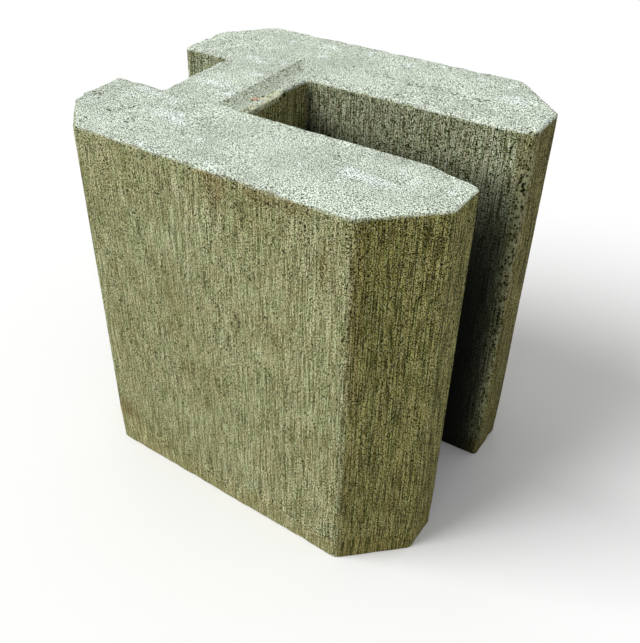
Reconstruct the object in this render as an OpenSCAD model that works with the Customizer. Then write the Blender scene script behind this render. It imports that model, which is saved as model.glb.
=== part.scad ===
// Concrete base block for a fence, cast in one piece.
// In plan it is an H: two legs run along X, and a web joins them near the notch end.
// A post stands in the shallow notch, and a plinth board is let down into the deep slot.
// The origin is at the centre of the underside, +Z is up and +X points out of the slot's mouth.

/* [Block] */
// Length along the legs
length = 250; // [225:5:350]
// Width across both legs
width = 200; // [180:5:260]
// Height
height = 250; // [150:10:400]

/* [Slot] */
// Width of the deep slot between the legs
slot_w = 61; // [45:1:80]
// Depth of the slot, from its mouth to the web
slot_depth = 146; // [110:1:160]
// Length of the lead-in that widens the slot at its mouth
flare_len = 30; // [10:1:50]
// How far the lead-in cuts into the front leg at the mouth
flare_front = 8; // [1:0.5:12]
// How far the lead-in cuts into the back leg at the mouth
flare_back = 2; // [1:0.5:12]

/* [Notch] */
// Width of the shallow notch at the other end
notch_w = 64; // [45:1:80]
// Depth of the notch, from the end of the legs to the web
notch_depth = 38; // [20:1:45]

/* [Corners] */
// Cut across each outer corner at the slot's mouth, along each side
mouth_cut = 35; // [10:1:40]
// Cut across each outer corner at the notch end, along each side
notch_cut = 30; // [10:1:40]

/* [Dip on top of the web] */
// Width of the sloped band, from its fold to the slot
dip_w = 23; // [10:1:30]
// How far the band falls by the time it meets the slot
dip_drop = 2.5; // [0.5:0.5:8]
// How far the band runs on into the top of the back leg
dip_run = 28; // [5:1:40]
// How far the run-on fades along the slot
dip_fade = 10; // [5:1:30]

/* [Hidden] */

concrete = [0.63, 0.64, 0.54];
// Cuts reach past the faces they open by this much
past = 5;

end_x = length / 2;
side_y = width / 2;
slot_x = end_x - slot_depth;
web_x = notch_depth - end_x;
slot_y = slot_w / 2;
notch_y = notch_w / 2;

// Outline of the block without its openings, seen from above
module outline() {
    polygon([
        [-end_x, -side_y + notch_cut],
        [-end_x + notch_cut, -side_y],
        [end_x - mouth_cut, -side_y],
        [end_x, -side_y + mouth_cut],
        [end_x, side_y - mouth_cut],
        [end_x - mouth_cut, side_y],
        [-end_x + notch_cut, side_y],
        [-end_x, side_y - notch_cut]
    ]);
}

// Plan of the slot: parallel walls, and a lead-in that widens to the mouth
module slot_plan() {
    front_slope = flare_front / flare_len;
    back_slope = flare_back / flare_len;
    polygon([
        [slot_x, -slot_y],
        [end_x - flare_len, -slot_y],
        [end_x + past, -slot_y - flare_front - past * front_slope],
        [end_x + past, slot_y + flare_back + past * back_slope],
        [end_x - flare_len, slot_y],
        [slot_x, slot_y]
    ]);
}

// Plan of the notch: a plain rectangle, open at the end of the legs
module notch_plan() {
    translate([-end_x - past, -notch_y])
        square([notch_depth + past, notch_w]);
}

// What the dip takes off the top: all that lies above two tilted planes.
// One falls from the fold to the slot, and the other rises to the back leg's level top.
module dip() {
    fold_x = slot_x - dip_w;
    fall = atan(dip_drop / dip_w);
    // The fade rises square to the line where it meets the level top
    fade_dir = atan2(-dip_run, dip_w + dip_fade);
    line_off = abs(dip_fade * sin(fade_dir));
    rise = atan(dip_drop / line_off);
    reach = 2 * (dip_w + dip_run + dip_fade);
    deep = 3 * dip_drop + past;
    intersection() {
        translate([fold_x, -slot_y, height])
            rotate([0, fall, 0])
                cube([reach, slot_w + dip_run, deep]);
        translate([fold_x, slot_y + dip_run, height])
            rotate([0, 0, fade_dir])
                rotate([rise, 0, 0])
                    translate([-reach / 2, -reach, 0])
                        cube([2 * reach, reach, reach]);
    }
}

module block() {
    color(concrete)
        difference() {
            linear_extrude(height = height)
                difference() {
                    outline();
                    slot_plan();
                    notch_plan();
                }
            dip();
        }
}

block();
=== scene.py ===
"""The fence base block's looks: one worn dry-cast concrete piece on a pale floor in soft light."""

import math

import bpy
import numpy as np
from mathutils import Matrix, Vector


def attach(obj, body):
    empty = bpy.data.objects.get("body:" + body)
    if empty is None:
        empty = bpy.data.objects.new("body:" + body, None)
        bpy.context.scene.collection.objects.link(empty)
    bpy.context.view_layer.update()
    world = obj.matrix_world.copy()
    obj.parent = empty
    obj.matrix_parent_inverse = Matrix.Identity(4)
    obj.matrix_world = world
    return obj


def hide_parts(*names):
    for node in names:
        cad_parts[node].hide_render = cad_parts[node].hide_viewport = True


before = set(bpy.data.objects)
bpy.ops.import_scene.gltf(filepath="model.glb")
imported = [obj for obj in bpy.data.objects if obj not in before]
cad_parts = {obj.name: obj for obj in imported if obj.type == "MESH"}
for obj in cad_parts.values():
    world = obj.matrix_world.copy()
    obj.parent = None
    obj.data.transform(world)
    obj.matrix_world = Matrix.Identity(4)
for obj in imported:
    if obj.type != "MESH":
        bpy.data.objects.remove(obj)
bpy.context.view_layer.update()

# Sizes in millimetres, the same as the part's source
LENGTH, WIDTH, HEIGHT = 250.0, 200.0, 250.0
SLOT_W, SLOT_DEPTH = 61.0, 146.0
FLARE_LEN, FLARE_FRONT, FLARE_BACK = 30.0, 8.0, 2.0
NOTCH_W, NOTCH_DEPTH = 64.0, 38.0
MOUTH_CUT, NOTCH_CUT = 35.0, 30.0
DIP_W, DIP_DROP, DIP_RUN, DIP_FADE = 23.0, 2.5, 28.0, 10.0
DIP_LEFT = 0.4  # share of the dip's depth that the rough web still shows
STRIP_W, STRIP_END = 8.5, 8.0  # width of the web's crumbled strip, and the y where it ends
PROUD = 0.6  # how far the best kept spots stand above the cast faces' mean level
COLUMN_MM = 1.5  # spacing of the mesh along the legs
LEG_ROWS, WEB_ROWS, WALL_RINGS = 46, 43, 52  # points across a leg, across the web, and rings down the wall

END_X, SIDE_Y = LENGTH / 2, WIDTH / 2
SLOT_X, WEB_X = END_X - SLOT_DEPTH, NOTCH_DEPTH - END_X
SLOT_Y, NOTCH_Y = SLOT_W / 2, NOTCH_W / 2
MM = 0.001


# Random fields


def scramble(ix, iy, iz, seed):
    """A repeatable random number from 0 to 1 for each whole-number point: its three numbers are
    multiplied by large odd numbers, mixed together bit by bit, and scaled."""
    h = (
        ix.astype(np.uint32) * np.uint32(73856093)
        ^ iy.astype(np.uint32) * np.uint32(19349663)
        ^ iz.astype(np.uint32) * np.uint32(83492791)
        ^ np.uint32(seed * 2654435 + 97)
    )
    h = (h ^ (h >> np.uint32(13))) * np.uint32(1274126177)
    h = (h ^ (h >> np.uint32(15))) * np.uint32(2246822519)
    return (h ^ (h >> np.uint32(16))).astype(np.float64) / 4294967296.0


def swell(p, size, seed):
    """Smooth random field from -1 to 1: random values at the corners of cubes of this size, blended
    with 3t^2 - 2t^3 along each axis in turn."""
    q = p / size
    base = np.floor(q)
    t = q - base
    t = t * t * (3 - 2 * t)
    i, j, k = (base[:, a].astype(np.int64) for a in range(3))
    ends = (1 - t).T, t.T
    total = 0
    for dx in (0, 1):
        for dy in (0, 1):
            for dz in (0, 1):
                w = ends[dx][0] * ends[dy][1] * ends[dz][2]
                total = total + w * scramble(i + dx, j + dy, k + dz, seed)
    return 2 * total - 1


def rough(p, size, seed, octaves=3):
    """Sum of swells, each half the size and half the height of the one before it, over 1.4 so that
    it stays near -1 to 1."""
    total, height = 0, 1.0
    for n in range(octaves):
        total = total + height * swell(p, size / 2**n, seed + n)
        height *= 0.5
    return total / 1.4


def pits(p, cell, small, large, seed):
    """Depth of round-bottomed pits, one for each cube of side cell: a random centre and a random
    radius r between small and large, and inside it the depth falls as r(1 - (d/r)^2), where d is
    the distance to the centre."""
    base = np.floor(p / cell)
    depth = np.zeros(len(p))
    for dx in (-1, 0, 1):
        for dy in (-1, 0, 1):
            for dz in (-1, 0, 1):
                c = base + (dx, dy, dz)
                i, j, k = (c[:, a].astype(np.int64) for a in range(3))
                jitter = np.stack([scramble(i, j, k, seed + a) for a in range(3)], 1)
                r = small + (large - small) * scramble(i, j, k, seed + 3) ** 3
                d = np.linalg.norm(p - (c + jitter) * cell, axis=1)
                depth = np.maximum(depth, r * (1 - (d / r) ** 2))
    return depth


def step(x, low, high):
    """0 below low, 1 above high, and 3t^2 - 2t^3 between them."""
    t = np.clip((x - low) / (high - low), 0, 1)
    return t * t * (3 - 2 * t)


# The plan, seen from above


def leg_outer(x):
    """Distance of a leg's outer side from the centre line at x: half the width, less the 45 degree
    cuts at both ends."""
    return SIDE_Y - np.maximum(0, -END_X + NOTCH_CUT - x) - np.maximum(0, x - END_X + MOUTH_CUT)


def leg_inner(x, flare):
    """Distance of a leg's inner side from the centre line at x: the notch's wall, the slot's wall
    with its lead-in, and a straight line between the two under the web."""
    across = np.clip((x - WEB_X) / (SLOT_X - WEB_X), 0, 1)
    lead_in = flare * np.clip((x - END_X + FLARE_LEN) / FLARE_LEN, 0, 1)
    return NOTCH_Y + (SLOT_Y - NOTCH_Y) * across + lead_in


def outline_corners():
    """The plan's corners in order, each with the radius that it is rounded by: (x, y, radius)."""
    mouth_f, mouth_b = SLOT_Y + FLARE_FRONT, SLOT_Y + FLARE_BACK
    return [
        (-END_X, -SIDE_Y + NOTCH_CUT, 3), (-END_X + NOTCH_CUT, -SIDE_Y, 3.5),
        (END_X - MOUTH_CUT, -SIDE_Y, 7), (END_X, -SIDE_Y + MOUTH_CUT, 6),
        (END_X, -mouth_f, 2), (END_X - FLARE_LEN, -SLOT_Y, 12),
        (SLOT_X, -SLOT_Y, 2), (SLOT_X, SLOT_Y, 1.5),
        (END_X - FLARE_LEN, SLOT_Y, 12), (END_X, mouth_b, 3),
        (END_X, SIDE_Y - MOUTH_CUT, 6), (END_X - MOUTH_CUT, SIDE_Y, 10),
        (-END_X + NOTCH_CUT, SIDE_Y, 9), (-END_X, SIDE_Y - NOTCH_CUT, 6),
        (-END_X, NOTCH_Y, 3), (WEB_X, NOTCH_Y, 3), (WEB_X, -NOTCH_Y, 2), (-END_X, -NOTCH_Y, 2.5),
    ]


def rounded_outline(steps=5):
    """The plan as one closed line, with each corner replaced by an arc: the arc of radius r touches
    both sides at r tan(half the turn) from the corner, and its points are evenly spaced in angle."""
    corners = outline_corners()
    line = []
    for n, (x, y, r) in enumerate(corners):
        here = np.array([x, y])
        back = np.array(corners[n - 1][:2]) - here
        ahead = np.array(corners[(n + 1) % len(corners)][:2]) - here
        back, ahead = back / np.linalg.norm(back), ahead / np.linalg.norm(ahead)
        half = math.acos(np.clip(back @ ahead, -1, 1)) / 2
        middle = back + ahead
        middle = middle / np.linalg.norm(middle)
        centre = here + middle * (r / math.sin(half))
        start = here + back * (r / math.tan(half)) - centre
        end = here + ahead * (r / math.tan(half)) - centre
        turn = math.atan2(start[0] * end[1] - start[1] * end[0], start @ end)
        for a in np.linspace(0, turn, steps):
            c, s = math.cos(a), math.sin(a)
            line.append(centre + (c * start[0] - s * start[1], s * start[0] + c * start[1]))
    return np.array(line)


def plan_distance(xy, line):
    """Signed distance from points to the closed line, negative inside it: the shortest distance to
    any of its stretches, and inside or outside by how often a ray along X crosses it."""
    best = np.full(len(xy), 1e9)
    inside = np.zeros(len(xy), bool)
    x, y = xy[:, 0], xy[:, 1]
    for (ax, ay), (bx, by) in zip(line, np.roll(line, -1, axis=0)):
        ex, ey = bx - ax, by - ay
        span = ex * ex + ey * ey
        if span < 1e-12:
            continue
        t = np.clip(((x - ax) * ex + (y - ay) * ey) / span, 0, 1)
        best = np.minimum(best, (x - ax - t * ex) ** 2 + (y - ay - t * ey) ** 2)
        if ay != by:
            inside ^= ((ay > y) != (by > y)) & (x < ax + (y - ay) * ex / ey)
    return np.where(inside, -1, 1) * np.sqrt(best)


def dip_fall(x, y):
    """Depth of the dip on the web: the smaller of two ramps, where one falls from the fold to the
    slot and the other falls away from the line between the fold's back end and the slot's back
    corner, up to the dip's depth."""
    fold_x = SLOT_X - DIP_W
    fall = (x - fold_x) * DIP_DROP / DIP_W
    away = ((SLOT_X - x) * DIP_RUN - (y - SLOT_Y) * DIP_W) / math.hypot(DIP_W, DIP_RUN)
    return np.clip(np.minimum(fall, away * DIP_DROP / DIP_FADE), 0, DIP_DROP)


def top_level(x, y):
    """Height of the cast top: level, but for the dip on the web, which ends in a small step at the
    front leg."""
    return HEIGHT - DIP_LEFT * dip_fall(x, y) * step(y, -SLOT_Y - 1.0, -SLOT_Y + 0.6)


# The worn surface

# Chips and hollows: centre x, y, z and half-sizes along x, y, z, all in millimetres
CHIPS = np.array([
    (-118, -58, 250.8, 2.4, 2.0, 3.0), (-128, -70, 252, 6, 9, 9),
    (-95.9, -91.3, 250.6, 2.2, 2.0, 1.8), (-93.4, -72.8, 250.4, 1.5, 1.5, 1.4),
    (-73.5, -76.4, 250.4, 1.7, 1.5, 1.4), (-31.2, -11.6, 250.0, 1.3, 1.5, 2.2),
    (-24, 7.5, 249.5, 3.0, 2.0, 3.0), (-22.5, -101, 251, 8, 3, 4),
    (-1.3, -101, 251, 10, 3, 3.5), (22, -101, 251.5, 6, 3, 3),
    (58, -101, 251.5, 9, 2.6, 3.5), (-62, -101, 251.5, 8, 2.5, 3),
    (18, 30, 251.5, 7, 3.0, 4), (34, 30, 251.5, 5, 3, 4),
    (48, 30, 251.5, 6, 3, 4), (76, 30, 251.5, 6, 3, 3.2),
    (-115, 31, 251.5, 6, 3, 4), (-99.6, 30, 251.5, 5, 3, 4.5),
    (127, 33, 252, 5, 4, 4.5), (112, 30.5, 252, 8, 3, 4.0),
    (126, -38, 251.5, 3, 4, 4), (99, -93, 251.5, 5, 3, 3),
    (112, -80, 251.5, 4, 3, 3), (91, -100, 240, 2.2, 2.2, 6),
    (60, 101, 251, 8, 3, 3.5), (-60, 101, 251, 10, 3, 3),
    (0, 101, 252, 7, 3, 4), (-124, 60, 252, 4, 6, 4),
    (124, 55, -1.5, 4, 7, 4), (80, 101, -1, 9, 3, 4),
])


def arris_radius(p):
    """Radius of the worn top and bottom edges in each place: about a millimetre, plus a slow swell
    and a quick one."""
    return np.clip(0.9 + 0.4 * swell(p, 23, 11) + 0.5 * swell(p, 6, 12), 0.4, 2.4)


def cast_distance(p, line):
    """Signed distance to the block with its edges rounded: distances to the plan and to the top and
    bottom are joined as length(max(q, 0)) + min(max(q), 0) - r, with r added to both parts of q.
    The whole lies PROUD further out, but for the foot, where that fades to nothing and the radius
    to half. The distances to the plan and to the level faces follow."""
    side = plan_distance(p[:, :2], line) + web_wear(p)
    level = np.maximum(p[:, 2] - top_level(p[:, 0], p[:, 1]), -p[:, 2])
    off_ground = step(p[:, 2], 2, 30)
    r = arris_radius(p) * (0.5 + 0.5 * off_ground)
    q = np.stack([side, level], 1) + r[:, None]
    joined = np.linalg.norm(np.maximum(q, 0), axis=1) + np.minimum(q.max(axis=1), 0)
    return joined - r - PROUD * off_ground, side, level


def relief(p, side, level):
    """How far the true surface lies below the cast one: slow swells, drag lines down the walls from
    the mould, grain, round pits, and crumbling that grows towards the edges, each with its own
    depth in millimetres."""
    wall = 1 - step(level, -3.5, -0.5)
    top = 1 - wall
    edge = np.exp(-np.minimum(np.abs(side), 30) / 3.0) * np.exp(-np.minimum(np.abs(level), 30) / 3.0)
    stretched = p * (1, 1, 0.045)
    drag = 0.5 + 0.5 * rough(stretched, 5.5, 21, 3)
    slow = 0.5 + 0.5 * swell(p, 55, 31)
    grain = 0.5 + 0.5 * rough(p, 4.2, 41, 2)
    crumb = np.clip(rough(p, 7, 51, 3) + 0.25, 0, 1.2)
    return (
        0.35 * slow
        + wall * 0.16 * drag
        + (0.16 + 0.04 * wall) * grain
        + top * 0.35 * np.clip(rough(p, 9, 61, 3), 0, 1)
        + edge * (0.3 + 0.6 * step(p[:, 2], 5, 60)) * crumb
        + 0.8 * pits(p, 11.0, 0.8, 2.6, 71)
    )


def chip_distance(p):
    """Greatest depth inside any chip, positive inside: (1 - |q|) times its smallest half-size,
    where q is the offset from its centre in half-sizes, with a rough field added."""
    depth = np.full(len(p), -50.0)
    ragged = 0.9 * rough(p, 4.5, 81, 3)
    for chip in CHIPS:
        centre, half = chip[:3], chip[3:]
        near = np.all(np.abs(p - centre) < 2 * half + 3, axis=1)
        q = np.linalg.norm((p[near] - centre) / half, axis=1)
        depth[near] = np.maximum(depth[near], (1 - q) * half.min() + ragged[near])
    return depth


def mouth_band(p):
    """1 on the back leg's slot-side edge at the mouth, falling to 0 some way from it, and ragged."""
    across = np.hypot(p[:, 0] - END_X, p[:, 1] - SLOT_Y - FLARE_BACK)
    return 1 - step(across + 2.5 * rough(p, 7, 95, 2), 2.0, 3.5 + 6.0 * step(p[:, 2], 90, 190))


def mouth_wear(p):
    """Depth of the broken edge down the back leg's slot side at the mouth: deeper where a rough
    field is high, and fading near the ground."""
    amount = np.clip(0.5 + 0.9 * rough(p * (1, 1, 0.6), 12, 91, 3), 0, 1.4) * step(p[:, 2], 10, 70)
    return (2.0 * amount + 0.8 * np.clip(rough(p, 4, 97, 2), 0, 1)) * mouth_band(p)


def web_wear(p):
    """Depth by which the web's edge at the slot has worn back: the sum of three smooth steps along
    Y, most just behind its middle, and fading down the wall."""
    x, y, z = p.T
    near = step(x, SLOT_X - 12, SLOT_X - 8) * step(SLOT_Y - np.abs(y), -0.6, 1.2)
    worn_back = 2.2 * (1 - step(y, 20, 32)) + 1.6 * step(y, 3, 8) * (1 - step(y, 22, 31))
    return near * (worn_back + 0.9 * (1 - step(y, -30, 3))) * step(z, 120, 225)


def web_strip(p):
    """1 on the crumbled strip along the front half of the web's edge at the slot, 0 outside it, and
    ragged: it lies within STRIP_W of the edge and ends at STRIP_END along Y."""
    x, y, z = p.T
    ragged = rough(p, 4.5, 93, 3)
    across = step(x + 3.5 * ragged, SLOT_X - STRIP_W, SLOT_X - STRIP_W + 2.0) * step(SLOT_X + 3 - x, 0, 1)
    along = step(y, -SLOT_Y - 1, -SLOT_Y + 0.5) * step(STRIP_END - y + 2 * ragged, 0, 2)
    return across * along * step(z, HEIGHT - 6, HEIGHT - 4)


def worn_distance(p, line):
    """The whole worn surface as one signed distance: that to the cast block, plus the depths of the
    relief, of the broken mouth edge and of the crumbled strip, or the depth inside a chip where
    that is greater."""
    cast, side, level = cast_distance(p, line)
    worn = relief(p, side, level) + mouth_wear(p)
    crumbled = web_strip(p) * (0.4 + 0.8 * np.clip(rough(p, 3.2, 94, 3), -0.4, 1.0))
    return np.maximum(cast + worn + crumbled, chip_distance(p))


def settle(points, line, rounds=4, reach=0.35):
    """Moves each point onto the worn surface: against the slope of the distance field, by 0.9 of
    the distance over the slope's length, a few times over. The slope is taken from steps of length
    reach along each axis."""
    p = points.copy()
    for _ in range(rounds):
        f = worn_distance(p, line)
        slope = np.stack([worn_distance(p + reach * axis, line) - f for axis in np.eye(3)], 1) / reach
        size = np.maximum((slope**2).sum(axis=1), 0.3)
        p = p - np.clip(f, -2.0, 2.0)[:, None] * slope / size[:, None] * 0.9
    return p


# The mesh


def spread(marks, spacing):
    """Values that include every mark, evenly spaced between two marks at about the spacing."""
    out = [marks[0]]
    for a, b in zip(marks[:-1], marks[1:]):
        n = max(1, round((b - a) / spacing))
        out += list(a + (b - a) * np.arange(1, n + 1) / n)
    return np.array(out)


def at_level(x, y, z):
    """Points at height z, from one x for each row of a grid and the grid's y values."""
    return np.stack([np.broadcast_to(x[:, None], y.shape), y, np.full(y.shape, z)], -1).reshape(-1, 3)


def quads(grid, flip):
    """Four point numbers for each cell of a grid of point numbers, in the other direction where
    flip is set."""
    a, b, c, d = grid[:-1, :-1], grid[1:, :-1], grid[1:, 1:], grid[:-1, 1:]
    cells = np.stack([a, b, c, d], -1).reshape(-1, 4)
    return cells[:, ::-1] if flip else cells


def cap_grid(columns, legs_rows, web_rows, z):
    """A level H of points at height z. Each leg is a grid: columns along X, and rows at fixed
    shares of the way from its inner side to its outer side. The web is a grid between the legs'
    inner sides, on the columns that it shares with them. Returns the points, the quads and the
    outline as one closed list of point numbers, anticlockwise from above."""
    nx, nt = len(columns), len(legs_rows)
    share = legs_rows[None, :]
    parts = []
    for sign, flare in ((-1, FLARE_FRONT), (1, FLARE_BACK)):
        inner, outer = leg_inner(columns, flare)[:, None], leg_outer(columns)[:, None]
        y = sign * (inner + (outer - inner) * share)
        parts.append(at_level(columns, y, z))
    front = np.arange(nx * nt).reshape(nx, nt)
    back = front + nx * nt
    w0, w1 = (int(np.abs(columns - v).argmin()) for v in (WEB_X, SLOT_X))
    xw = columns[w0 : w1 + 1]
    half = leg_inner(xw, 0.0)[:, None]
    mid = web_rows[None, 1:-1]
    yw = half * (2 * mid - 1)
    parts.append(at_level(xw, yw, z))
    web = np.arange(yw.size).reshape(yw.shape) + 2 * nx * nt
    web = np.concatenate([front[w0 : w1 + 1, :1], web, back[w0 : w1 + 1, :1]], axis=1)
    faces = np.concatenate([quads(front, True), quads(back, False), quads(web, False)])
    rim = np.concatenate([
        front[:-1, -1], front[-1, ::-1][:-1], front[w1:, 0][::-1][:-1],
        web[-1, :-1], back[w1:-1, 0], back[-1, :-1],
        back[::-1, -1][:-1], back[0, ::-1][:-1], back[:w0, 0],
        web[0, ::-1][:-1], front[1 : w0 + 1, 0][::-1], front[0, :-1],
    ])
    return np.concatenate(parts), faces, rim


def wall_heights():
    """Heights of the wall's rings from the top down: close together near the top and bottom edges,
    and wider between."""
    top = HEIGHT - np.cumsum(np.geomspace(0.7, 2.6, 15))
    low = np.cumsum(np.geomspace(0.9, 2.8, 8))[::-1]
    middle = np.linspace(top[-1], low[0], WALL_RINGS)[1:-1]
    return np.concatenate([top, middle, low])


def block_mesh():
    """The block as one closed grid: the top H, the wall as its outline carried down through the
    heights, and the bottom H. Then every point settles onto the worn surface."""
    marks = [-END_X, -END_X + NOTCH_CUT, WEB_X, SLOT_X, END_X - MOUTH_CUT, END_X - FLARE_LEN, END_X]
    columns = spread(marks, COLUMN_MM)
    ease = np.linspace(0, 1, LEG_ROWS)
    legs_rows = ease - 0.045 * np.sin(2 * math.pi * ease)
    web_rows = np.linspace(0, 1, WEB_ROWS)
    top, top_faces, rim = cap_grid(columns, legs_rows, web_rows, HEIGHT)
    low, low_faces, _ = cap_grid(columns, legs_rows, web_rows, 0.0)
    heights = wall_heights()
    n = len(rim)
    ring = top[rim]
    wall = np.repeat(ring[None], len(heights), axis=0)
    wall[:, :, 2] = heights[:, None]
    points = np.concatenate([top, wall.reshape(-1, 3), low])
    first_low = len(top) + n * len(heights)
    between = len(top) + np.arange(n * len(heights)).reshape(-1, n)
    rings = np.concatenate([rim[None], between, (first_low + rim)[None]])
    a, b = rings[:-1], rings[1:]
    wall_faces = np.stack([a, b, np.roll(b, -1, axis=1), np.roll(a, -1, axis=1)], -1).reshape(-1, 4)
    faces = np.concatenate([top_faces, wall_faces, low_faces[:, ::-1] + first_low])
    line = rounded_outline()
    return settle(points, line), faces, line


def new_mesh(name, points, faces):
    """A mesh object at the origin from arrays of points in metres and of quads."""
    mesh = bpy.data.meshes.new(name)
    mesh.vertices.add(len(points))
    mesh.vertices.foreach_set("co", points.astype(np.float32).ravel())
    mesh.loops.add(faces.size)
    mesh.loops.foreach_set("vertex_index", faces.astype(np.int32).ravel())
    mesh.polygons.add(len(faces))
    mesh.polygons.foreach_set("loop_start", np.arange(0, faces.size, 4, dtype=np.int32))
    mesh.polygons.foreach_set("use_smooth", np.ones(len(faces), bool))
    mesh.update(calc_edges=True)
    mesh.validate()
    obj = bpy.data.objects.new(name, mesh)
    bpy.context.collection.objects.link(obj)
    return obj


def add_mask(mesh, name, values):
    """A number for each point, which the material reads by this name."""
    mesh.attributes.new(name, "FLOAT", "POINT").data.foreach_set("value", values.astype(np.float32))


points, faces, plan_line = block_mesh()
block = new_mesh("concrete_block", points * MM, faces)

# Where the surface differs


def flare_up(p, centre, half_sizes, size, seed, ragged=0.45):
    """1 in the middle of a mark and 0 outside it, with a ragged edge: one less the distance from
    the centre in half-sizes, with a rough field added, times 1.5 and kept between 0 and 1."""
    q = np.linalg.norm((p - centre) / half_sizes, axis=1)
    return np.clip(1.5 * (1 - q + ragged * rough(p * (1, 1, 0.5), size, seed, 3)), 0, 1)


# The painted shade on the slot's walls starts at this depth under the top.
SHADE_FROM = 22.0  # depth under the top where the slot's walls start to darken
FINES_HEIGHT, FINES_MORE = 26.0, 22.0  # height of the smooth skin at the foot, and what its left end adds
ROW_Y = 60.5  # where the row of pits on the back leg starts, along Y
RUST_AT = (-31.3, -11.6)  # the orange stain on the web
# Brown patches on the outer face: centre x, z and half-sizes along x, z
PATCHES = (
    (9.3, 247, 13, 18), (36, 246, 10, 9), (76, 226, 5, 30), (60, 248, 14, 8), (-92, 34, 14, 12),
)
# Pitted spots on the top: centre x, y, radius, and strength, which is 1 for a single open hole
PITTED = (
    (-117.5, -58, 2.4, 1.0), (-95.9, -93, 1.7, 1.0), (-97, -88, 1.5, 1.0), (-93.4, -72.8, 1.6, 1.0),
    (-84, -62, 1.5, 1.0), (-73.5, -76.4, 4.0, 0.4), (-66, -84, 3.0, 0.4), (-31.2, -11.6, 1.6, 1.0),
    (-30, -6.5, 1.4, 1.0), (-25, 8.5, 1.8, 1.0),
)
# White patches on the top: centre x, y and half-sizes along x, y
BLOOMS = (
    (-84.8, -40.4, 17, 7), (-70.2, 39.4, 12, 5), (94.5, 68.8, 14, 7), (-62, -6, 16, 5),
    (78, -60, 22, 6), (-60, -60, 20, 9),
)


def top_mask(p, line):
    """1 on the pale top and 0 on the walls, by the height under the cast top. Along the front leg's
    outer rim the wall's colour creeps over a ragged band of the top."""
    x, y, z = p.T
    rim = plan_distance(p[:, :2], line) > -1.0 - 0.9 * rough(p, 3.5, 130, 2)
    web_edge = step(x, SLOT_X - 16, SLOT_X - 10) * step(SLOT_Y - np.abs(y), 0, 2)
    web_edge = web_edge * step(SLOT_X + 3 - x, 0, 1)
    return step(z - top_level(x, y) + 0.5 * web_edge, -1.4, -0.3) * (1 - 0.75 * rim * step(-y, 50, 96))


def slot_shade_mask(p):
    """Painted shade on the walls: in the slot it grows as 1 - e^(-depth / 18) from the depth where it
    starts under the top, and as 1 - e^(-way in / 4) from the mouth; the slot's back corner and, very
    little, the notch get painted shade as well."""
    x, y, z = p.T
    in_slot = step(x, SLOT_X - 9, SLOT_X - 7) * step(SLOT_Y + 12 - np.abs(y), 0, 2)
    in_notch = step(-x, -WEB_X - 3, -WEB_X) * step(NOTCH_Y + 3 - np.abs(y), 0, 2)
    down, inward = HEIGHT - z, np.maximum(END_X - x, 0)
    slot = in_slot * (1 - np.exp(-np.maximum(down - SHADE_FROM, 0) / 18.0)) * (1 - np.exp(-inward / 4.0))
    corner = in_slot * np.exp(-np.hypot(x - SLOT_X, y - SLOT_Y) / 1.8) * step(down, 3, 9)
    notch = in_notch * 0.03 * (1 - np.exp(-down / 80.0))
    return slot + notch + 0.9 * corner


def dip_masks(p):
    """Two masks for the dip on the web: the darker grey band from its fold towards the slot, and the
    lines of its fold and its foot at the front leg, each falling as e^(-distance / 0.9)."""
    x, y, _ = p.T
    fold_x = SLOT_X - DIP_W
    beside = step(y, -SLOT_Y - 1, -SLOT_Y + 1) * step((SLOT_X - x) * DIP_RUN / DIP_W - y + SLOT_Y, -3, 5)
    dip = step(x, fold_x - 0.8, fold_x + 0.8) * (1 - 0.8 * step(x, fold_x + 6, SLOT_X - 5)) * beside
    fold = np.exp(-np.abs(x - fold_x - 0.8 * swell(p, 7, 131)) / 0.9) * beside
    foot = np.exp(-np.abs(y + SLOT_Y + 0.2) / 0.9) * step(x, fold_x, fold_x + 6) * step(SLOT_X - 2 - x, 0, 4)
    return dip, np.maximum(fold, foot)


def pitted_mask(p):
    """1 at the open holes of the top, and less along a row of pits on the back leg: e^(-(distance /
    radius)^2)."""
    x, y, _ = p.T
    row_y = ROW_Y - 1.6 * (x - SLOT_X) / 114.0 + 1.5 * swell(p, 14, 132)
    row = np.exp(-((y - row_y) / 2.2) ** 2) * step(x, SLOT_X - 2, SLOT_X + 6) * step(98 - x, 0, 8)
    row = row * np.clip(0.25 + 0.4 * swell(p, 9, 133), 0, 0.42)
    for cx, cy, radius, strength in PITTED:
        row = np.maximum(row, strength * np.exp(-((x - cx) ** 2 + (y - cy) ** 2) / radius**2))
    return row


def fines_mask(p):
    """1 on the smooth skin near the ground, up to a wandering height that grows towards the front
    leg's left end."""
    x, y, z = p.T
    wander = 14 * swell(p, 30, 101) + 7 * swell(p, 9, 102)
    reach = FINES_HEIGHT + FINES_MORE * step(-x, 20, 110) * step(-y, 60, 95)
    return 1 - step(z + wander, 0.45 * reach, reach)


def stain_mask(p):
    """1 on brown patches: a band beside the front leg's cut corner, and the marks in PATCHES."""
    x, y, z = p.T
    cut_x = END_X - MOUTH_CUT
    arris = np.exp(-np.maximum(x - cut_x - 1.0, 0) / 4.0) * step(x, cut_x - 0.5, cut_x + 1.0)
    arris = arris * step(-y, 80, 90)
    arris = arris * (0.45 + 0.5 * rough(p * (1, 1, 0.3), 18, 103, 2) + 0.2 * step(z, 150, 220))
    spots = 0
    for cx, cz, rx, rz in PATCHES:
        spots = np.maximum(spots, flare_up(p, (cx, -SIDE_Y, cz), (rx, 12, rz), 9, 104))
    return arris + spots


def bloom_mask(p):
    """1 in the white patches of the top."""
    bloom = 0
    for n, (cx, cy, rx, ry) in enumerate(BLOOMS):
        bloom = np.maximum(bloom, flare_up(p, (cx, cy, HEIGHT), (rx, ry, 12), 9, 110 + n, 0.7))
    return bloom


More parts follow.
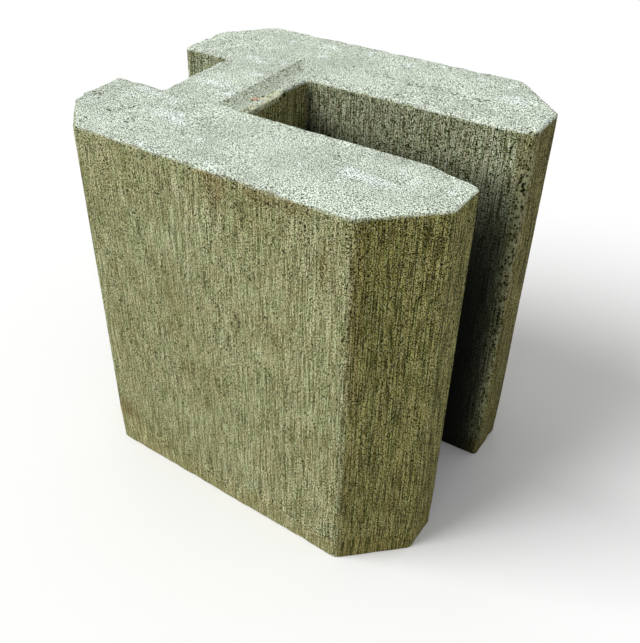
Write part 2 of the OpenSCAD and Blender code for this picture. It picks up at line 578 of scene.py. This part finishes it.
def masks(p, line):
    """Numbers from 0 to 1 for each point, which the material reads: top for the pale upper face,
    slot for the painted shade deep in the slot, at its back corner, in the notch and on the back
    leg's end face, dip for the darker grey band on the web, fold for dark dotted lines at the
    dip's fold and foot and for pits and holes on the top, fines for the smooth yellow skin near
    the ground, inside for the greyer back wall of the slot and notch, lee for the painted shade,
    darker and warmer, on the walls that face away from the light, stain for brown patches and
    for part of the end face's painted shade, bloom for white patches, crumb for broken edges,
    rust for the orange stain, and sand for the web's yellow edge."""
    x, y, z = p.T
    top = top_mask(p, line)
    wall = 1 - top
    dip, fold = dip_masks(p)
    # The back leg's end face gets painted shade below: the slot, lee and stain masks make it darker and
    # browner.
    end_face = step(x, END_X - 4, END_X - 1) * step(y, 20, 34)
    end_face = end_face * (0.55 + 0.3 * rough(p * (1, 1, 0.4), 15, 106, 2))
    # lee is painted shade: the faces past the mouth's cut, the web's wall and the back leg's end face are
    # made darker and warmer.
    cut_x = END_X - MOUTH_CUT
    lee = step(x, cut_x, cut_x + 3) * (1 - step(SLOT_Y + 1.5 - np.abs(y), -1, 1))
    web_wall = step(8.0 - np.abs(x - SLOT_X), 0, 1.5) * step(SLOT_Y - np.abs(y), 0, 2)
    return {
        "top": top,
        # slot: painted shade deep in the slot, at its back corner, in the notch and on the back leg's end
        # face
        "slot": np.clip(slot_shade_mask(p) + 0.3 * end_face, 0, 1),
        "dip": dip * top,
        "fold": np.clip(np.maximum(0.42 * fold, pitted_mask(p)), 0, 1) * step(z, 244, 246),
        "fines": fines_mask(p) * wall,
        "inside": step(y, SLOT_Y - 4, SLOT_Y) * step(SLOT_Y + 6 - y, 0, 3) * wall,
        "lee": np.maximum(np.maximum(lee, 0.7 * web_wall), 0.45 * end_face) * wall,
        "stain": np.clip(stain_mask(p) + 0.6 * end_face, 0, 1) * wall,
        "bloom": bloom_mask(p) * top,
        "crumb": mouth_band(p) * step(z, 8, 50),
        "rust": flare_up(p, (*RUST_AT, HEIGHT - 1), (3.0, 3.6, 5), 3, 120),
        "sand": web_strip(p) * step(z, HEIGHT - 4.0, HEIGHT - 2.6),
    }


for mask_name, mask_values in masks(points, plan_line).items():
    add_mask(block.data, mask_name, mask_values)

# The concrete


class Recipe:
    """Adds shader nodes to one material and joins them, so that a finish reads as a list of layers."""

    def __init__(self, name):
        self.material = bpy.data.materials.new(name)
        self.material.use_nodes = True
        self.tree = self.material.node_tree
        self.tree.nodes.clear()
        self.place = self.add("ShaderNodeTexCoord").outputs["Object"]

    def add(self, kind, **settings):
        """A new node of this kind with these settings."""
        node = self.tree.nodes.new(kind)
        for key, value in settings.items():
            setattr(node, key, value)
        return node

    def put(self, socket, value):
        """Joins another node's output to the socket, or sets a plain value on it."""
        if isinstance(value, bpy.types.NodeSocket):
            self.tree.links.new(value, socket)
        else:
            socket.default_value = value

    def math(self, operation, *values):
        """The result of one operation on the values."""
        node = self.add("ShaderNodeMath", operation=operation)
        for socket, value in zip(node.inputs, values):
            self.put(socket, value)
        return node.outputs[0]

    def stretch(self, scale, offset=(0, 0, 0)):
        """Places for a field, scaled along each axis and then moved by the offset in metres."""
        node = self.add("ShaderNodeMapping")
        self.put(node.inputs["Vector"], self.place)
        node.inputs["Scale"].default_value = scale
        node.inputs["Location"].default_value = offset
        return node.outputs[0]

    def noise(self, size_mm, where=None, detail=2.0, roughness=0.5):
        """A smooth random field from 0 to 1, with features of this size."""
        node = self.add("ShaderNodeTexNoise")
        self.put(node.inputs["Vector"], where or self.place)
        node.inputs["Scale"].default_value = 1000.0 / size_mm
        node.inputs["Detail"].default_value = detail
        node.inputs["Roughness"].default_value = roughness
        return node.outputs["Fac"]

    def cells(self, size_mm, where):
        """Random cells of this size: the distance to a cell's centre in cells, and two random
        numbers for each cell."""
        node = self.add("ShaderNodeTexVoronoi", feature="F1")
        self.put(node.inputs["Vector"], where)
        node.inputs["Scale"].default_value = 1000.0 / size_mm
        split = self.add("ShaderNodeSeparateColor")
        self.put(split.inputs[0], node.outputs["Color"])
        return node.outputs["Distance"], split.outputs[0], split.outputs[1]

    def between(self, value, low, high, out_low=0.0, out_high=1.0):
        """out_low where the value is below low, out_high above high, and smoothly between them
        otherwise."""
        node = self.add("ShaderNodeMapRange", clamp=True, interpolation_type="SMOOTHSTEP")
        self.put(node.inputs["Value"], value)
        limits = {"From Min": low, "From Max": high, "To Min": out_low, "To Max": out_high}
        for key, number in limits.items():
            self.put(node.inputs[key], number)
        return node.outputs[0]

    def mix(self, share, a, b, blend="MIX"):
        """Colour a turned into b, or multiplied by it, by the share."""
        node = self.add("ShaderNodeMix", data_type="RGBA", blend_type=blend)
        self.put(node.inputs[0], share)
        for socket, colour in ((node.inputs[6], a), (node.inputs[7], b)):
            self.put(socket, colour if isinstance(colour, bpy.types.NodeSocket) else (*colour, 1.0))
        return node.outputs[2]

    def mask(self, name):
        """The mesh's mask of this name."""
        return self.add("ShaderNodeAttribute", attribute_type="GEOMETRY", attribute_name=name).outputs["Fac"]

    def stops(self, *layers):
        """Sum of (field - 0.5) times its strength, over all the layers."""
        total = 0.0
        for field, strength in layers:
            part = self.math("MULTIPLY", self.math("SUBTRACT", field, 0.5), strength)
            total = part if total == 0.0 else self.math("ADD", total, part)
        return total

    def expose(self, colour, stops, blue=1.0):
        """The colour times 2 to the power of the stops, with blue's stops multiplied once more."""
        gain = self.add("ShaderNodeCombineXYZ")
        warm = self.math("POWER", 2.0, stops)
        self.put(gain.inputs[0], warm)
        self.put(gain.inputs[1], warm)
        self.put(gain.inputs[2], self.math("POWER", 2.0, self.math("MULTIPLY", stops, blue)))
        node = self.add("ShaderNodeVectorMath", operation="MULTIPLY")
        self.put(node.inputs[0], colour)
        self.put(node.inputs[1], gain.outputs[0])
        return node.outputs[0]


# Colours of the concrete, as linear red, green and blue
TOP_PALE, TOP_GREY, TOP_WHITE = (0.637, 0.71, 0.603), (0.53, 0.588, 0.496), (0.76, 0.84, 0.79)
WALL_OLIVE, WALL_PALE, WALL_BROWN = (0.220, 0.223, 0.096), (0.272, 0.284, 0.142), (0.165, 0.138, 0.052)
# The lee tint below is painted shade: it makes the walls that face away from the light darker and warmer.
WALL_SHADE, WALL_CHALK, LEE_SHADE_TINT = (0.262, 0.288, 0.175), (0.48, 0.49, 0.29), (0.665, 0.62, 0.38)
TINT_GREEN, TINT_BROWN = (0.855, 0.895, 0.80), (0.935, 0.875, 0.825)
FINES_YELLOW, DIP_GREY = (0.250, 0.234, 0.103), (0.40, 0.445, 0.345)
# Near black for the painted shade in the slot, the notch and on the back leg's end face.
SHADE_NEAR_BLACK = (0.002, 0.003, 0.001)
CRUMB, SAND, ORANGE = (0.40, 0.40, 0.23), (0.64, 0.65, 0.43), (0.60, 0.30, 0.19)

# The masks that the material reads, and the sizes of its random fields in millimetres
MASKS = ("top", "slot", "dip", "fines", "stain", "lee", "inside", "bloom", "crumb", "rust", "sand", "fold")
EVEN = (1, 1, 1)
SAND_MM, GRAIN_MM, LINE_MM, STREAK_MM, LOOSE_MM = 0.5, 0.6, 0.66, 2.6, 3.0
WIDE_STREAK_MM, CROWD_MM, BLOTCH_MM = 9.0, 10.0, 36.0

# Pores: their cell in millimetres, height over width, offset in metres, and widest radius in cells
SMALL_PORES = (0.95, 1.0, (0.003, 0.001, 0.002), 0.68)
WIDE_PORES = (2.7, 1.2, (0.011, 0.005, 0.002), 0.34)
BROKEN_PORES = (1.5, 1.3, (0.005, 0.009, 0.004), 0.66)
CHALK_SPECKS = (0.7, 1.0, (0.006, 0.002, 0.008), 0.68)
TOP_HOLES = (1.0, 1.0, (0.008, 0.003, 0.005), 0.55)
TOP_DOTS = (1.4, 1.0, (0.002, 0.006, 0.007), 0.85)

# How dark pores are, in stops, how many times these stops blue gets, and the finest relief's depth in metres
WALL_PORE_STOPS, TOP_PORE_STOPS, HOLE_STOPS = -4.2, -0.9, -2.4
BLUE_MORE = 1.35
BUMP_M = 0.0006


def pores(r, kind, share):
    """Round dark pores: cells with a random number each, and a pore in the given share of them,
    whose radius grows with how far its number is above the limit. It is 1 in a pore's middle and 0
    outside it."""
    cell_mm, tall, offset, widest = kind
    distance, pick, _ = r.cells(cell_mm, r.stretch((1, 1, 1 / tall), offset))
    size = r.between(pick, r.math("SUBTRACT", 1.0, share), 1.0, 0.0, widest)
    return r.between(r.math("SUBTRACT", size, distance), 0.0, 0.10)


def fields(r):
    """What the layers read, by name: the mesh's masks, and random fields for grain, streaks and
    blotches."""
    f = {name: r.mask(name) for name in MASKS}
    f["grain"] = r.noise(GRAIN_MM, detail=0.0)
    f["grit"] = r.noise(GRAIN_MM, r.stretch(EVEN, (0.007, 0.003, 0.001)), detail=0.0)
    f["line"] = r.noise(LINE_MM, r.stretch((1, 1, 0.035)), detail=0.0)
    f["streak"] = r.noise(STREAK_MM, r.stretch((1, 1, 0.03), (0.002, 0.001, 0.005)), detail=1.0)
    f["wide_streak"] = r.noise(WIDE_STREAK_MM, r.stretch((1, 1, 0.12), (0.001, 0.002, 0.003)))
    f["blotch"] = r.noise(BLOTCH_MM, r.stretch((1, 1, 0.7), (0.002, 0.007, 0.005)), detail=3.0)
    _, f["sand_tone"], f["sand_hue"] = r.cells(SAND_MM, r.place)
    f["crowd"] = r.noise(CROWD_MM, r.stretch((1, 1, 0.5), (0.004, 0.004, 0.001)))
    f["loose"] = r.noise(LOOSE_MM, r.stretch((1, 1, 0.6), (0.007, 0.007, 0.002)), roughness=0.7)
    f["calm"] = r.between(f["fines"], 0.2, 1.0, 1.0, 0.5)
    return f


def open_pores(r, f):
    """The walls' pores, small ones everywhere and wider ones where they crowd together or an edge
    is broken, and the holes and dots of the top."""
    small = pores(r, SMALL_PORES, r.between(f["crowd"], 0.35, 0.70, 0.12, 0.22))
    wide = pores(r, WIDE_PORES, r.between(f["crowd"], 0.5, 0.75, 0.005, 0.06))
    edge = r.math("MULTIPLY", r.math("MAXIMUM", f["crumb"], f["sand"]), 0.75)
    pore = r.math("MAXIMUM", r.math("MAXIMUM", small, wide), pores(r, BROKEN_PORES, edge))
    pore = r.math("MULTIPLY", pore, r.between(f["fines"], 0.2, 0.9, 1.0, 0.30))
    holes = pores(r, TOP_HOLES, r.math("MULTIPLY", f["top"], 0.2))
    dots = pores(r, TOP_DOTS, r.math("MULTIPLY", f["fold"], 1.7))
    dots = r.math("MAXIMUM", dots, r.between(f["fold"], 0.48, 0.75, 0.0, 1.5))
    return pore, r.math("MAXIMUM", dots, holes)


def top_colour(r, f):
    """The top: pale laitance with grey patches, white haze and a fine speckle."""
    pale = r.mix(r.between(r.noise(26.0, detail=3.0, roughness=0.6), 0.35, 0.65), TOP_GREY, TOP_PALE)
    haze = r.noise(17.0, r.stretch(EVEN, (0.009, 0.004, 0.003)), detail=3.0, roughness=0.65)
    white = r.math("MAXIMUM", r.between(haze, 0.58, 0.74), r.math("MULTIPLY", f["bloom"], 0.85))
    pale = r.mix(white, pale, TOP_WHITE)
    # A darker grey over the dip's band, from its fold towards the slot.
    pale = r.mix(f["dip"], pale, DIP_GREY)
    return r.expose(pale, r.math("MINIMUM", r.stops((f["sand_tone"], 2.2), (f["grit"], 13.0)), 0.5))


def wall_body(r, f):
    """The walls' colour before its grain: olive and pale patches, the greyer wall of the slot, the
    smooth skin near the ground, brown stains, and painted shade, darker and warmer, on the walls away
    from the light."""
    layers = (f["streak"], 0.4), (f["wide_streak"], 0.5), (f["blotch"], 1.2), (f["sand_hue"], 0.3)
    wall = r.mix(r.between(r.stops(*layers), -0.32, 0.32), WALL_OLIVE, WALL_PALE)
    wall = r.mix(r.math("MULTIPLY", f["inside"], 0.8), wall, WALL_SHADE)
    wall = r.mix(r.math("MULTIPLY", f["fines"], 0.7), wall, FINES_YELLOW)
    stains = r.noise(13.0, r.stretch((1, 1, 0.25), (0.004, 0.004, 0.004)), detail=4.0, roughness=0.65)
    stains = r.between(stains, 0.58, 0.75, 0.0, 0.5)
    wall = r.mix(r.math("MAXIMUM", stains, r.math("MULTIPLY", f["stain"], 0.85)), wall, WALL_BROWN)
    # Painted shade: the walls that face away from the light are multiplied darker and warmer.
    return r.mix(f["lee"], wall, LEE_SHADE_TINT, "MULTIPLY")


def wall_colour(r, f):
    """The walls: their body, made lighter and darker by speckle and fine lines, tinted green and
    brown in patches and stripes, with chalky specks, and with pale crumbs along the broken edge."""
    speckle = r.math("MULTIPLY", r.stops((f["sand_tone"], 2.0), (f["grain"], 20.0)), f["calm"])
    rubbed = r.between(r.math("MAXIMUM", f["lee"], f["inside"]), 0, 1, 1.0, 1.8)
    lines = r.math("MULTIPLY", r.stops((f["line"], 3.8), (f["streak"], 0.2)), rubbed)
    shade = r.math("ADD", r.math("MINIMUM", speckle, 0.75), r.math("MINIMUM", lines, 0.65))
    wall = r.expose(wall_body(r, f), shade, BLUE_MORE)
    patch = r.noise(5.5, r.stretch((1, 1, 0.6), (0.001, 0.008, 0.006)), roughness=0.6)
    stripe = r.math("MULTIPLY", r.math("SUBTRACT", f["streak"], 0.5), r.between(f["lee"], 0, 1, 0.5, 1.8))
    tint = r.between(r.math("ADD", r.math("SUBTRACT", patch, 0.5), stripe), -0.17, 0.17)
    wall = r.mix(1.0, wall, r.mix(tint, TINT_GREEN, TINT_BROWN), "MULTIPLY")
    specks = r.math("MULTIPLY", pores(r, CHALK_SPECKS, 0.36), f["calm"])
    wall = r.mix(r.math("MULTIPLY", specks, r.between(f["lee"], 0, 1, 0.85, 0.5)), wall, WALL_CHALK)
    return r.mix(r.math("MULTIPLY", f["crumb"], r.between(f["loose"], 0.42, 0.56, 0.0, 0.85)), wall, CRUMB)


def fine_bump(r, f, pore):
    """The finest relief, from the grain, the lines and the pores, which are lower."""
    dark = r.math("MULTIPLY", pore, r.between(f["top"], 0.0, 1.0, 0.92, 0.55))
    height = r.math("SUBTRACT", r.stops((f["grain"], 1.0), (f["grit"], 0.5), (f["line"], 0.5)), dark)
    bump = r.add("ShaderNodeBump")
    bump.inputs["Strength"].default_value = 0.8
    bump.inputs["Distance"].default_value = BUMP_M
    r.put(bump.inputs["Height"], height)
    return bump.outputs[0]


def concrete():
    """Concrete: a pale speckled top, streaked and pitted olive walls, and painted shade that makes the
    walls deep in the slot near black."""
    r = Recipe("weathered_concrete")
    f = fields(r)
    pore, holes = open_pores(r, f)
    colour = r.mix(f["top"], wall_colour(r, f), top_colour(r, f))
    colour = r.mix(r.math("MULTIPLY", f["sand"], r.between(f["loose"], 0.38, 0.60, 0.25, 1.0)), colour, SAND)
    colour = r.mix(r.math("MULTIPLY", f["rust"], 0.85), colour, ORANGE)
    pit_stops = r.math("MULTIPLY", pore, r.between(f["top"], 0.0, 1.0, WALL_PORE_STOPS, TOP_PORE_STOPS))
    pit_stops = r.math("MINIMUM", pit_stops, r.math("MULTIPLY", holes, HOLE_STOPS))
    colour = r.expose(colour, pit_stops, BLUE_MORE)
    # Painted shade: near black mixed in deep in the slot, at its back corner, a little in the notch, and on
    # the back leg's end face.
    colour = r.mix(r.math("MULTIPLY", f["slot"], 0.992), colour, SHADE_NEAR_BLACK)

    shader = r.add("ShaderNodeBsdfPrincipled")
    r.put(shader.inputs["Base Color"], colour)
    shader.inputs["Roughness"].default_value = 0.92
    shader.inputs["Specular IOR Level"].default_value = 0.12
    r.put(shader.inputs["Normal"], fine_bump(r, f, pore))
    out = r.add("ShaderNodeOutputMaterial")
    r.put(out.inputs["Surface"], shader.outputs[0])
    return r.material


block.data.materials.append(concrete())
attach(block, "root")
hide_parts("block")

# Floor, light and camera

FLOOR_HALF, FLOOR_COLOUR = 6.0, (0.86, 0.86, 0.86)
SUN_TOWARDS, SUN_SPREAD, SUN_STRENGTH = (0.50, 0.52, -0.70), 38.0, 2.9
SKY_COLOUR, SKY_STRENGTH = (1.0, 1.0, 1.0, 1.0), 0.55


def plain(name, colour, roughness):
    """A plain matt material."""
    material = bpy.data.materials.new(name)
    material.use_nodes = True
    shader = material.node_tree.nodes["Principled BSDF"]
    shader.inputs["Base Color"].default_value = (*colour, 1.0)
    shader.inputs["Roughness"].default_value = roughness
    shader.inputs["Specular IOR Level"].default_value = 0.1
    return material


def floor_mesh(half):
    """A level square of this half-side in metres, at the height of the block's underside."""
    corners = np.array([(-half, -half, 0), (half, -half, 0), (half, half, 0), (-half, half, 0)], float)
    return new_mesh("floor", corners, np.array([[0, 1, 2, 3]]))


floor = floor_mesh(FLOOR_HALF)
floor.data.materials.append(plain("pale_floor", FLOOR_COLOUR, 0.9))


def soft_sun(name, towards, spread, strength):
    """A distant light that shines along a direction, spread over an angle in degrees so that its
    shadows are soft."""
    data = bpy.data.lights.new(name, "SUN")
    data.angle, data.energy = math.radians(spread), strength
    light = bpy.data.objects.new(name, data)
    light.rotation_mode = "QUATERNION"
    light.rotation_quaternion = Vector(towards).to_track_quat("-Z", "Y")
    bpy.context.collection.objects.link(light)


soft_sun("key", SUN_TOWARDS, SUN_SPREAD, SUN_STRENGTH)

world = bpy.data.worlds.new("studio")
bpy.context.scene.world = world
world.use_nodes = True
sky = world.node_tree.nodes["Background"]
sky.inputs["Color"].default_value = SKY_COLOUR
sky.inputs["Strength"].default_value = SKY_STRENGTH
bpy.context.scene.view_settings.view_transform = "Standard"

# The camera, fitted to the photograph: its place, its aim, its roll, and its focal length in pixels
CAMERA_AT = Vector((0.25289, -0.38066, 0.44520))
CAMERA_AIM = Vector((-0.01535, -0.03786, 0.125))
CAMERA_ROLL = math.radians(1.852)
FOCAL_PX, CENTRE_PX = 819.74, (256.0, 297.0)
FRAME_W, FRAME_H = 640, 643


def photo_camera():
    """The camera at the photograph's viewpoint. Its axes come from its aim, then turn about the
    line of sight by the roll."""
    ahead = (CAMERA_AIM - CAMERA_AT).normalized()
    right = ahead.cross(Vector((0, 0, 1))).normalized()
    down = ahead.cross(right)
    c, s = math.cos(CAMERA_ROLL), math.sin(CAMERA_ROLL)
    right, down = c * right + s * down, c * down - s * right
    data = bpy.data.cameras.new("camera")
    data.sensor_width = 36.0
    data.lens = FOCAL_PX / FRAME_H * data.sensor_width
    data.shift_x = (FRAME_W / 2 - CENTRE_PX[0]) / FRAME_H
    data.shift_y = (CENTRE_PX[1] - FRAME_H / 2) / FRAME_H
    data.clip_start, data.clip_end = 0.01, 50.0
    camera = bpy.data.objects.new("camera", data)
    turn = Matrix((right, -down, -ahead)).transposed()
    camera.matrix_world = Matrix.Translation(CAMERA_AT) @ turn.to_4x4()
    bpy.context.collection.objects.link(camera)
    bpy.context.scene.camera = camera


photo_camera()
